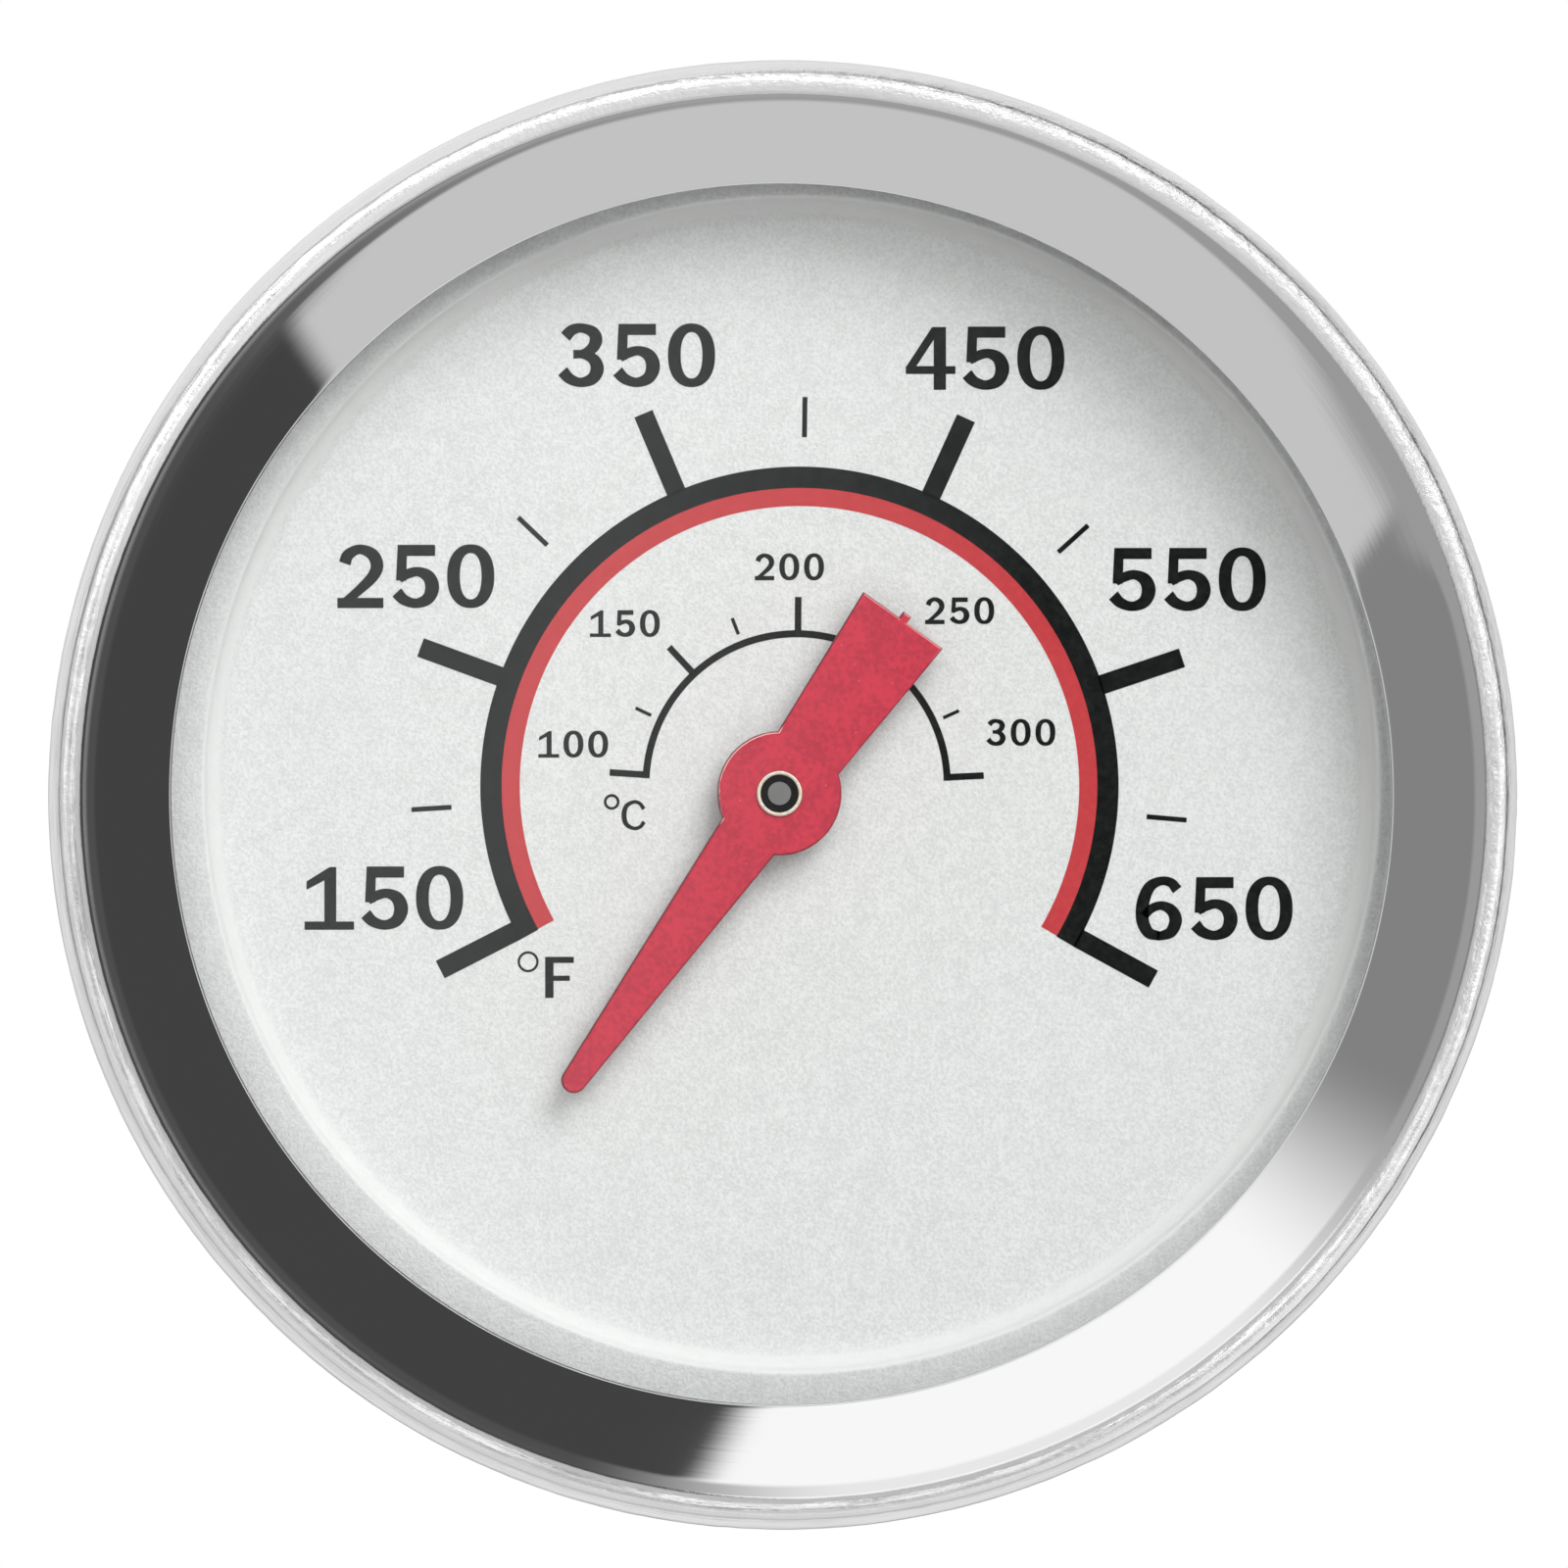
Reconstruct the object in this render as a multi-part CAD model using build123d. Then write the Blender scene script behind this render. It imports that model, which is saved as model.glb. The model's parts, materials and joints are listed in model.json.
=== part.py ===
from build123d import *
import os

# Back-entry bimetal dial thermometer for an oven door or a grill hood. Millimetres.
# The instrument's axis is Y. The dial looks along -Y with its numerals upright along +Z,
# and the stem runs along +Y into the oven. The origin is on the axis, in the plane of the
# seal's face that rests on the door. A "station" below is a place along Y.

# ---- head: bezel, window, dial and case ----
SHEET = 0.5                      # bezel, dial and case are all pressed from this sheet
BEZEL_RADIUS = 30.0              # over the rolled bead
SKIRT_RADIUS = 29.3              # outside of the bezel's side wall
CONE_OUTER_RADIUS = 28.45        # where the polished cone meets the bead
WINDOW_RADIUS = 24.95            # inside edge of the cone
CONE_DROP = 2.1                  # how far the cone sinks from the bead to the window
BEAD_RISE = 0.6                  # the bead's centre stands this far in front of the cone
CRIMP_RADIUS = 26.0              # inside edge of the lip rolled behind the case's flange
CRIMP_BACK = -6.8                # station of that lip's back

STACK_RADIUS = 28.3              # window, gasket, dial flange and case flange
LENS_THICKNESS = 1.8
LENS_CHAMFER = 0.2
GASKET_THICKNESS = 1.0
GASKET_INNER_RADIUS = 25.6
DIAL_DROP = 1.6                  # depth of the dial's floor below its flange
DIAL_RIM_RADIUS = 23.9           # where the flange turns down
DIAL_FLOOR_RADIUS = 22.9         # where the floor begins
DIAL_BEND = 0.7
DIAL_HOLE_RADIUS = 1.6
CUP_RADIUS = 24.8                # outside of the case
CUP_BEND = 1.0

# ---- stud that holds the head to the door ----
SEAL_THICKNESS = 1.2
SEAL_RADIUS = 8.5
SHOULDER_THICKNESS = 1.0
SHOULDER_RADIUS = 8.0
STUD_FRONT = -6.0                # station of the stud's end inside the case
STUD_BACK = 24.0                 # station of its end inside the oven
PILOT_RADIUS = 5.2               # plain length that centres the stud in the door's hole
PILOT_LENGTH = 4.0
THREAD_RADIUS = 4.95             # crest of the M10 x 1.5 thread, drawn as a plain rod
THREAD_LEAD = 0.8                # chamfer at the thread's end
LOCK_WASHER_THICKNESS = 0.6
LOCK_WASHER_RADIUS = 7.6
LOCK_WASHER_RIM = 1.2
LOCK_WASHER_TEETH = 10
LOCK_NUT_THICKNESS = 2.2
LOCK_NUT_FLATS = 14.0            # across flats

# ---- washers and wing nut, shown with a 5 mm space for the door ----
DOOR_SPACE = 5.0
WASHER_BORE_RADIUS = 5.4
FLAT_WASHER_RADIUS = 10.0
FLAT_WASHER_THICKNESS = 1.2
FLAT_WASHER_EDGE = 0.3
SPRING_WASHER_RADIUS = 8.0
SPRING_WASHER_THICKNESS = 1.6
SPRING_WASHER_RISE = 0.5         # how far apart its two cut ends stand
SPRING_WASHER_TURN = 0.96        # part of a full turn
NUT_BORE_RADIUS = THREAD_RADIUS + 0.07
NUT_HEIGHT = 8.0
NUT_BASE_HEIGHT = 1.5            # straight part under the tapered boss
NUT_SEAT_RADIUS = 8.2
NUT_TOP_RADIUS = 6.9
NUT_EDGE = 0.5
WING_THICKNESS = 2.4
WING_EDGE = 0.9
WING_CIRCLES = (                 # distance from the axis, height above the seat, radius
    (12.8, 10.5, 3.2),           # the ear's tip
    (5.0, 5.4, 2.2),             # the upper root in the boss
    (5.6, 2.6, 1.6),             # the lower root in the boss
)

# ---- probe and bimetal movement ----
TUBE_RADIUS = 3.0
TUBE_WALL = 0.4
TUBE_FRONT = -2.0                # station of the tube's end inside the stud
TUBE_SWAGE = 0.25                # how much the tube is drawn down where the stud holds it
TUBE_BACK = 58.0                 # station where the tube meets its rounded tip
TIP_LENGTH = 2.0
TIP_ROUND = 1.7
TIP_PLUG_LENGTH = 3.0            # part of the tip that fills the tube
TIP_POST_LENGTH = 5.0            # thinner post that holds the coil's end
SHAFT_RADIUS = 0.475
RUNNING_CLEARANCE = 0.05         # radial, wherever the shaft turns
COIL_RADIUS = 1.9                # inside of the bimetal helix
COIL_THICKNESS = 0.25
COIL_WIDTH = 1.5
COIL_PITCH = 2.4
COIL_FRONT = 22.0
COIL_CLEARANCE = 0.02            # between the coil and the two parts it is welded to
COLLAR_GRIP = 3.3                # length of collar inside the coil
COLLAR_LENGTH = 4.0
FRONT_BEARING = (-5.9, -3.4)     # stations of each bearing's ends
REAR_BEARING = (16.0, 18.5)

# ---- pointer ----
POINTER_THICKNESS = 0.7
POINTER_GAP = 1.1                # between the dial's floor and the pointer's back
POINTER_HUB_RADIUS = 2.55
POINTER_EDGE = 0.12
NEEDLE_LENGTH = 15.0             # from the axis
NEEDLE_TIP_RADIUS = 0.52
NEEDLE_ROOT_HALF_WIDTH = 1.45    # taken at the axis, under the hub disc
TAIL_LENGTH = 8.73
TAIL_ROOT_HALF_WIDTH = 1.38      # taken at the axis
TAIL_END_HALF_WIDTH = 2.0
GATE_HEIGHT = 0.3                # moulding gate left at the middle of the tail's end
GATE_WIDTH = 0.4
REST_ANGLE = 234.4               # needle at room warmth, anticlockwise from +X in front view
EYELET_RADIUS = 0.95             # brass eyelet that joins the pointer to the shaft
EYELET_RECESS_RADIUS = 0.78
EYELET_RECESS_DEPTH = 0.35
EYELET_PROUD = 0.12              # how far its rim stands in front of the pointer
EYELET_FLANGE_RADIUS = 1.9
EYELET_FLANGE_THICKNESS = 0.6
EYELET_NECK_RADIUS = 1.1
SHAFT_SUNK = 0.17                # how far the shaft's end lies below the eyelet's rim

# ---- stations worked out from the door forwards ----
shoulder_back = -SEAL_THICKNESS
cup_back = shoulder_back - SHOULDER_THICKNESS
cup_floor = cup_back - SHEET
lock_nut_back = cup_floor - LOCK_WASHER_THICKNESS
cup_flange_back = CRIMP_BACK - SHEET
dial_flange_back = cup_flange_back - SHEET
dial_flange_front = dial_flange_back - SHEET
dial_floor_front = dial_flange_front + DIAL_DROP
lens_back = dial_flange_front - GASKET_THICKNESS
lens_front = lens_back - LENS_THICKNESS
pointer_back = dial_floor_front - POINTER_GAP
pointer_front = pointer_back - POINTER_THICKNESS
eyelet_front = pointer_front - EYELET_PROUD
eyelet_back = pointer_back + EYELET_FLANGE_THICKNESS + 0.8
shaft_front = eyelet_front + SHAFT_SUNK

# ---- stations worked out from the door backwards ----
flat_washer_back = DOOR_SPACE + FLAT_WASHER_THICKNESS
nut_seat = flat_washer_back + SPRING_WASHER_THICKNESS + SPRING_WASHER_RISE
collar_back = COIL_FRONT + COLLAR_GRIP
post_front = TUBE_BACK - TIP_PLUG_LENGTH - TIP_POST_LENGTH
coil_back = TUBE_BACK - TIP_PLUG_LENGTH - 0.4

half = SHEET / 2
weld_radius = COIL_RADIUS - COIL_CLEARANCE
tube_bore = TUBE_RADIUS - TUBE_WALL
stud_bore = TUBE_RADIUS - TUBE_SWAGE
swage_bore = stud_bore - TUBE_WALL
case_hole = THREAD_RADIUS + 0.05


def turned(*outline):
    """A body of revolution about Y from a closed outline of (radius, station) points."""
    return revolve(make_face(Polyline(*outline, close=True)), Axis.Y)


def ring(inner, outer, start, end):
    """A plain ring about Y between two stations, or a disc if its inner radius is 0."""
    return turned((inner, start), (outer, start), (outer, end), (inner, end))


def sheet_profile(bend_radius, *path):
    """Cross-section of bent sheet whose middle runs through the path, with equal bends."""
    middle = FilletPolyline(*path, radius=bend_radius)
    return make_face(offset(middle, amount=half, side=Side.BOTH, kind=Kind.ARC))


def facing(station):
    """The plane at a station as the reader sees it: X right, Z up, normal to the reader."""
    return Plane(origin=(0, station, 0), x_dir=(1, 0, 0), z_dir=(0, -1, 0))


def strip_helix(start, height, pitch, radius, thickness, width):
    """A flat strip wound on edge round Y: thickness is radial, width is along the axis."""
    path = Helix(pitch=pitch, height=height, radius=radius, center=(0, start, 0), direction=(0, 1, 0))
    begin = path @ 0
    section = Plane(origin=begin, x_dir=begin - Vector(0, start, 0), z_dir=path % 0)
    return sweep(section * Rectangle(thickness, width), path=path, is_frenet=True)


def bezel_ring():
    """Side wall crimped behind the case, rolled bead in front, and the cone down to the window."""
    bead_radius = (BEZEL_RADIUS - CONE_OUTER_RADIUS) / 2
    bead_station = lens_front - CONE_DROP - BEAD_RISE
    lip = lens_front - half
    side = sheet_profile(
        0.6,
        (CRIMP_RADIUS + half, CRIMP_BACK - half),
        (SKIRT_RADIUS - half, CRIMP_BACK - half),
        (SKIRT_RADIUS - half, bead_station),
    )
    cone = sheet_profile(
        0.05,
        (WINDOW_RADIUS + half, lip),
        (WINDOW_RADIUS + 2 * half, lip - 0.3),
        (CONE_OUTER_RADIUS + half, lip - CONE_DROP),
    )
    bead = Location((BEZEL_RADIUS - bead_radius, bead_station)) * Circle(bead_radius)
    return revolve(side + cone + bead, Axis.Y)


def glass_lens():
    lens = ring(0, STACK_RADIUS, lens_front, lens_back)
    return chamfer(lens.edges().filter_by(GeomType.CIRCLE), LENS_CHAMFER)


def lens_gasket():
    return ring(GASKET_INNER_RADIUS, STACK_RADIUS, lens_back, dial_flange_front)


def dial_plate():
    """Shallow pan: the flange is gripped by the bezel, the floor carries the scale."""
    flange = dial_flange_front + half
    floor = dial_floor_front + half
    overlap = 1.0
    pan = sheet_profile(
        DIAL_BEND,
        (STACK_RADIUS - half, flange),
        (DIAL_RIM_RADIUS, flange),
        (DIAL_FLOOR_RADIUS, floor),
        (DIAL_HOLE_RADIUS + overlap, floor),
    )
    centre = ring(DIAL_HOLE_RADIUS, DIAL_HOLE_RADIUS + 2 * overlap, floor - half, floor + half)
    return revolve(pan, Axis.Y) + centre


def case_cup():
    """Deep-drawn rear case with a flange in front and the stud's hole behind."""
    flange = cup_flange_back - half
    floor = cup_floor + half
    overlap = 1.0
    shell = sheet_profile(
        CUP_BEND,
        (STACK_RADIUS - half, flange),
        (CUP_RADIUS - half, flange),
        (CUP_RADIUS - half, floor),
        (case_hole + overlap, floor),
    )
    centre = ring(case_hole, case_hole + 2 * overlap, floor - half, floor + half)
    return revolve(shell, Axis.Y) + centre


def mounting_stud():
    """Hollow stud: short thread in the case, shoulder, seal groove, pilot and long thread."""
    return turned(
        (stud_bore, STUD_FRONT),
        (THREAD_RADIUS, STUD_FRONT),
        (THREAD_RADIUS, cup_back),
        (SHOULDER_RADIUS, cup_back),
        (SHOULDER_RADIUS, shoulder_back),
        (THREAD_RADIUS, shoulder_back),
        (THREAD_RADIUS, 0),
        (PILOT_RADIUS, 0),
        (PILOT_RADIUS, PILOT_LENGTH),
        (THREAD_RADIUS, PILOT_LENGTH),
        (THREAD_RADIUS, STUD_BACK - THREAD_LEAD),
        (THREAD_RADIUS - THREAD_LEAD, STUD_BACK),
        (stud_bore, STUD_BACK),
    )


def door_seal():
    return ring(PILOT_RADIUS + 0.05, SEAL_RADIUS, shoulder_back, 0)


def stud_lock_washer():
    """Internal-tooth washer inside the case."""
    inner_rim = LOCK_WASHER_RADIUS - LOCK_WASHER_RIM
    tooth = Location((inner_rim - 0.6, 0)) * Rectangle(1.4, 1.3)
    flat = Circle(LOCK_WASHER_RADIUS) - Circle(inner_rim)
    for i in range(LOCK_WASHER_TEETH):
        flat += Rot(Z=360 / LOCK_WASHER_TEETH * i) * tooth
    flat -= Circle(THREAD_RADIUS + 0.1)
    return extrude(facing(cup_floor) * flat, LOCK_WASHER_THICKNESS)


def stud_lock_nut():
    """Thin hexagon nut that clamps the case to the stud's shoulder."""
    hexagon = RegularPolygon(LOCK_NUT_FLATS / 2, 6, major_radius=False)
    blank = extrude(facing(lock_nut_back) * hexagon, LOCK_NUT_THICKNESS)
    return blank - ring(0, THREAD_RADIUS, lock_nut_back - 2 * LOCK_NUT_THICKNESS, lock_nut_back + 1)


def probe_tube():
    """Thin tube, drawn down to fit the stud's bore up to a small step at the stud's end."""
    return turned(
        (swage_bore, TUBE_FRONT),
        (stud_bore, TUBE_FRONT),
        (stud_bore, STUD_BACK),
        (TUBE_RADIUS, STUD_BACK),
        (TUBE_RADIUS, TUBE_BACK),
        (tube_bore, TUBE_BACK),
        (tube_bore, STUD_BACK + TUBE_WALL),
        (swage_bore, STUD_BACK + TUBE_WALL),
    )


def probe_tip():
    """Rounded plug that closes the tube, with the post that the coil's end is welded round."""
    plug_front = TUBE_BACK - TIP_PLUG_LENGTH
    end_cap = ring(0, TUBE_RADIUS, TUBE_BACK, TUBE_BACK + TIP_LENGTH)
    end_cap = fillet(end_cap.edges().group_by(Axis.Y)[-1], TIP_ROUND)
    post = ring(0, weld_radius, post_front, plug_front)
    return end_cap + ring(0, tube_bore, plug_front, TUBE_BACK) + post


def bimetal_coil():
    """Bimetal strip that winds itself up or down with heat: collar in front, tip behind."""
    length = coil_back - COIL_FRONT - COIL_WIDTH
    middle = COIL_RADIUS + COIL_THICKNESS / 2
    start = COIL_FRONT + COIL_WIDTH / 2
    return strip_helix(start, length, COIL_PITCH, middle, COIL_THICKNESS, COIL_WIDTH)


def coil_collar():
    return ring(SHAFT_RADIUS, weld_radius, collar_back - COLLAR_LENGTH, collar_back)


def pointer_shaft():
    return ring(0, SHAFT_RADIUS, shaft_front, collar_back)


def front_bearing():
    return ring(SHAFT_RADIUS + RUNNING_CLEARANCE, stud_bore, *FRONT_BEARING)


def rear_bearing():
    return ring(SHAFT_RADIUS + RUNNING_CLEARANCE, swage_bore, *REAR_BEARING)


def pointer_eyelet():
    """Brass eyelet pressed on the shaft and staked through the pointer."""
    recess_floor = eyelet_front + EYELET_RECESS_DEPTH
    flange_back = pointer_back + EYELET_FLANGE_THICKNESS
    return turned(
        (EYELET_RECESS_RADIUS, eyelet_front),
        (EYELET_RADIUS, eyelet_front),
        (EYELET_RADIUS, pointer_back),
        (EYELET_FLANGE_RADIUS, pointer_back),
        (EYELET_FLANGE_RADIUS, flange_back),
        (EYELET_NECK_RADIUS, flange_back),
        (EYELET_NECK_RADIUS, eyelet_back),
        (SHAFT_RADIUS, eyelet_back),
        (SHAFT_RADIUS, recess_floor),
        (EYELET_RECESS_RADIUS, recess_floor),
    )


def taper(end, root_half_width, end_half_width):
    """A straight-sided outline along X that starts at the axis."""
    return make_face(
        Polyline(
            (0, root_half_width),
            (end, end_half_width),
            (end, -end_half_width),
            (0, -root_half_width),
            close=True,
        )
    )


def pointer():
    """Moulded pointer: tapered needle, round hub and a wide tail that balances it."""
    tip_centre = NEEDLE_LENGTH - NEEDLE_TIP_RADIUS
    shape = Circle(POINTER_HUB_RADIUS)
    shape += taper(tip_centre, NEEDLE_ROOT_HALF_WIDTH, NEEDLE_TIP_RADIUS)
    shape += Location((tip_centre, 0)) * Circle(NEEDLE_TIP_RADIUS)
    shape += taper(-TAIL_LENGTH, TAIL_ROOT_HALF_WIDTH, TAIL_END_HALF_WIDTH)
    shape += Location((-TAIL_LENGTH, 0)) * Rectangle(2 * GATE_HEIGHT, GATE_WIDTH)
    body = extrude(facing(pointer_back) * Rot(Z=REST_ANGLE) * shape, POINTER_THICKNESS)
    front_edges = body.edges().group_by(Axis.Y)[0]
    body = fillet(front_edges, POINTER_EDGE)
    return body - ring(0, EYELET_RADIUS, pointer_front - 1, pointer_back + 1)


def flat_washer():
    washer = ring(WASHER_BORE_RADIUS, FLAT_WASHER_RADIUS, DOOR_SPACE, flat_washer_back)
    outer_edges = washer.edges().filter_by(GeomType.CIRCLE).group_by(SortBy.RADIUS)[-1]
    return fillet(outer_edges, FLAT_WASHER_EDGE)


def spring_washer():
    """Split washer: almost one turn of square wire whose ends stand a little apart."""
    return strip_helix(
        flat_washer_back + SPRING_WASHER_THICKNESS / 2,
        SPRING_WASHER_RISE,
        SPRING_WASHER_RISE / SPRING_WASHER_TURN,
        (WASHER_BORE_RADIUS + SPRING_WASHER_RADIUS) / 2,
        SPRING_WASHER_RADIUS - WASHER_BORE_RADIUS,
        SPRING_WASHER_THICKNESS - 0.04,
    )


def wing_nut():
    """Tapered boss with two upswept ears, threaded on the stud."""
    top = nut_seat + NUT_HEIGHT
    boss = turned(
        (0, nut_seat),
        (NUT_SEAT_RADIUS, nut_seat),
        (NUT_SEAT_RADIUS, nut_seat + NUT_BASE_HEIGHT),
        (NUT_TOP_RADIUS, top),
        (0, top),
    )
    boss = fillet(boss.edges().filter_by(GeomType.CIRCLE), NUT_EDGE)
    circles = [Location((x, nut_seat + y)) * Circle(r) for x, y, r in WING_CIRCLES]
    outline = make_hull([edge for circle in circles for edge in circle.edges()])
    wing = extrude(outline, WING_THICKNESS / 2, both=True)
    wing = fillet(wing.edges(), WING_EDGE)
    nut = boss + wing + wing.rotate(Axis.Y, 180)
    return nut - ring(0, NUT_BORE_RADIUS, nut_seat - 1, top + NUT_HEIGHT)


NODES = (
    bezel_ring,
    glass_lens,
    lens_gasket,
    dial_plate,
    case_cup,
    mounting_stud,
    door_seal,
    stud_lock_washer,
    stud_lock_nut,
    probe_tube,
    probe_tip,
    bimetal_coil,
    coil_collar,
    pointer_shaft,
    front_bearing,
    rear_bearing,
    pointer_eyelet,
    pointer,
    flat_washer,
    spring_washer,
    wing_nut,
)

os.makedirs("parts", exist_ok=True)
for make in NODES:
    export_step(make(), f"parts/{make.__name__}.step")
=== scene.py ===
import json
import math

import bmesh
import bpy
from mathutils import Matrix, Vector, noise

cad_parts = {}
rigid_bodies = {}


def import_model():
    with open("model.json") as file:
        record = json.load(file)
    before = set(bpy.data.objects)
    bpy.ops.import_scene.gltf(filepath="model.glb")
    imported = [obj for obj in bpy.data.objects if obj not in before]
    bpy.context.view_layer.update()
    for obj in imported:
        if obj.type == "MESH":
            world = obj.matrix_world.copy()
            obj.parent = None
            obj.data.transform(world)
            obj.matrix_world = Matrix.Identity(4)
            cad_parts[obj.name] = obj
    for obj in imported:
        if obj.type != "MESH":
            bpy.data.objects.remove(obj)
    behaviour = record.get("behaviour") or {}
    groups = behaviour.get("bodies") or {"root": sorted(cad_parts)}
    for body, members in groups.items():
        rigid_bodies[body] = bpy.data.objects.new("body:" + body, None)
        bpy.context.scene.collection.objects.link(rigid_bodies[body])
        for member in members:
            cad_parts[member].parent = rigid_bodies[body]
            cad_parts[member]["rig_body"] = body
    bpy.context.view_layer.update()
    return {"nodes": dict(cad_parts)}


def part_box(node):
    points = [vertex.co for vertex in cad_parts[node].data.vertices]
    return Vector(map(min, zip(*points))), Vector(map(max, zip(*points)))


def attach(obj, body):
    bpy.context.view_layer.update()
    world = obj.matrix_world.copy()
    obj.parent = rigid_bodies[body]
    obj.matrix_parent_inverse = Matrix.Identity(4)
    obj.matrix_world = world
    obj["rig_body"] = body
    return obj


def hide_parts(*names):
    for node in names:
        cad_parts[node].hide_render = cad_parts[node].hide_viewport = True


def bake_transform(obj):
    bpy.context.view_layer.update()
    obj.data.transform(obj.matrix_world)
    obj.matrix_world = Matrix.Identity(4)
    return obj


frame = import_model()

# The object is a dial thermometer whose axis is Y. The dial looks along -Y, +Z is up and
# the stem runs along +Y. Sizes below are in millimetres, and "station" is a place along Y.
MM = 0.001
CASE = "case"
POINTER = "pointer_unit"
WASHERS = "washers"
NUT = "nut"


def extent(node):
    """Lowest and highest corner of a CAD node in millimetres."""
    low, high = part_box(node)
    return low / MM, high / MM


bezel_low, bezel_high = extent("bezel_ring")
lens_low, lens_high = extent("glass_lens")
dial_low, dial_high = extent("dial_plate")
case_low, case_high = extent("case_cup")
stud_low, stud_high = extent("mounting_stud")
seal_low, seal_high = extent("door_seal")
tube_low, tube_high = extent("probe_tube")
tip_low, tip_high = extent("probe_tip")
pointer_low, pointer_high = extent("pointer")
eyelet_low, eyelet_high = extent("pointer_eyelet")
nut_low, nut_high = extent("wing_nut")

SHEET = 0.5
dial_floor = dial_high.y - SHEET
bezel_radius = bezel_high.z


# ---------------------------------------------------------------- mesh helpers
def finish_mesh(name, mesh, body, material, node=None, sharp=35):
    """Makes an object of a mesh in metres, smooth except at sharp edges, riding on a body."""
    mesh.shade_smooth()
    mesh.set_sharp_from_angle(angle=math.radians(sharp))
    mesh.materials.append(material)
    piece = bpy.data.objects.new(name, mesh)
    bpy.context.scene.collection.objects.link(piece)
    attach(piece, body)
    if node:
        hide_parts(node)
    return piece


def mesh_of(name, vertices, faces):
    """A mesh in metres from vertices in millimetres, with its faces turned outwards."""
    mesh = bpy.data.meshes.new(name)
    mesh.from_pydata([Vector(v) * MM for v in vertices], [], faces)
    work = bmesh.new()
    work.from_mesh(mesh)
    bmesh.ops.recalc_face_normals(work, faces=work.faces)
    work.to_mesh(mesh)
    work.free()
    return mesh


def arc(centre, radius, start, end, steps):
    """Points on an arc in the (radius, station) plane; angles in degrees from the radial axis."""
    points = []
    for i in range(steps + 1):
        angle = math.radians(start + (end - start) * i / steps)
        points.append((centre[0] + radius * math.cos(angle), centre[1] + radius * math.sin(angle)))
    return points


def rounded(*corners, steps=6):
    """A closed outline from (radius, station, fillet) corners, with the fillets as arcs."""
    outline = []
    count = len(corners)
    for i, (x, y, fillet) in enumerate(corners):
        corner = Vector((x, y))
        if fillet == 0:
            outline.append((x, y))
            continue
        before = (Vector(corners[i - 1][:2]) - corner).normalized()
        after = (Vector(corners[(i + 1) % count][:2]) - corner).normalized()
        half = before.angle(after) / 2
        centre = corner + (before + after).normalized() * fillet / math.sin(half)
        start = corner + before * fillet / math.tan(half) - centre
        turn = start.angle_signed(corner + after * fillet / math.tan(half) - centre)
        for k in range(steps + 1):
            spoke = start.copy()
            spoke.rotate(Matrix.Rotation(-turn * k / steps, 2))
            outline.append(tuple(centre + spoke))
    return outline


def supported(outline, gap=0.05):
    """Adds a point close to both ends of every long straight, so flats shade as flat."""
    points = []
    for a, b in zip(outline, outline[1:] + outline[:1]):
        a, b = Vector(a), Vector(b)
        points.append(tuple(a))
        if (b - a).length > 8 * gap:
            inset = (b - a).normalized() * gap
            points += [tuple(a + inset), tuple(b - inset)]
    return points


def lathe_mesh(name, outline, segments, nudge=None):
    """Revolves a closed (radius, station) outline about Y; points on the axis become poles."""
    vertices = []
    rows = []
    for radius, station in supported(outline):
        if radius < 1e-6:
            rows.append([len(vertices)] * segments)
            vertices.append((0, station, 0))
            continue
        rows.append([len(vertices) + i for i in range(segments)])
        for i in range(segments):
            angle = 2 * math.pi * i / segments
            r, y, a = (radius, station, angle) if nudge is None else nudge(radius, station, angle)
            vertices.append((r * math.sin(a), y, r * math.cos(a)))
    faces = []
    for a, b in zip(rows, rows[1:] + rows[:1]):
        for i in range(segments):
            j = (i + 1) % segments
            corners = list(dict.fromkeys((a[i], a[j], b[j], b[i])))
            if len(corners) > 2:
                faces.append(corners)
    return mesh_of(name, vertices, faces)


def lathe(name, outline, body, material, node=None, segments=256, sharp=35, nudge=None):
    mesh = lathe_mesh(name, outline, segments, nudge)
    return finish_mesh(name, mesh, body, material, node, sharp)


def refined(node, bevel, body, look, sharp=35):
    """A copy of a CAD node's mesh with its sharp edges broken."""
    mesh = frame["nodes"][node].data.copy()
    work = bmesh.new()
    work.from_mesh(mesh)
    bmesh.ops.remove_doubles(work, verts=work.verts, dist=0.001 * MM)
    flat = math.radians(0.5)
    bmesh.ops.dissolve_limit(work, angle_limit=flat, verts=work.verts, edges=work.edges)
    creases = [e for e in work.edges if e.is_manifold and e.calc_face_angle(0) > math.radians(40)]
    bmesh.ops.bevel(work, geom=creases, offset=bevel * MM, segments=2, profile=0.5, affect="EDGES", clamp_overlap=True)
    work.to_mesh(mesh)
    work.free()
    mesh.materials.clear()
    piece = finish_mesh(node + "_eased", mesh, body, look, node, sharp)
    even = piece.modifiers.new("even_shading", "WEIGHTED_NORMAL")
    even.keep_sharp = True
    even.weight = 100
    return piece


def cast(node, voxel, passes, body, look):
    """A copy of a CAD node melted a little, so its corners are filled and rounded like a casting."""
    source = frame["nodes"][node].data.copy()
    source.materials.clear()
    blank = bpy.data.objects.new(node + "_blank", source)
    bpy.context.scene.collection.objects.link(blank)
    skin = blank.modifiers.new("skin", "REMESH")
    skin.mode = "VOXEL"
    skin.voxel_size = voxel * MM
    soften = blank.modifiers.new("soften", "SMOOTH")
    soften.factor = 0.5
    soften.iterations = passes
    mesh = bpy.data.meshes.new_from_object(blank.evaluated_get(bpy.context.evaluated_depsgraph_get()))
    bpy.data.objects.remove(blank)
    mesh.materials.clear()
    return finish_mesh(node + "_cast", mesh, body, look, node, sharp=180)


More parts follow.
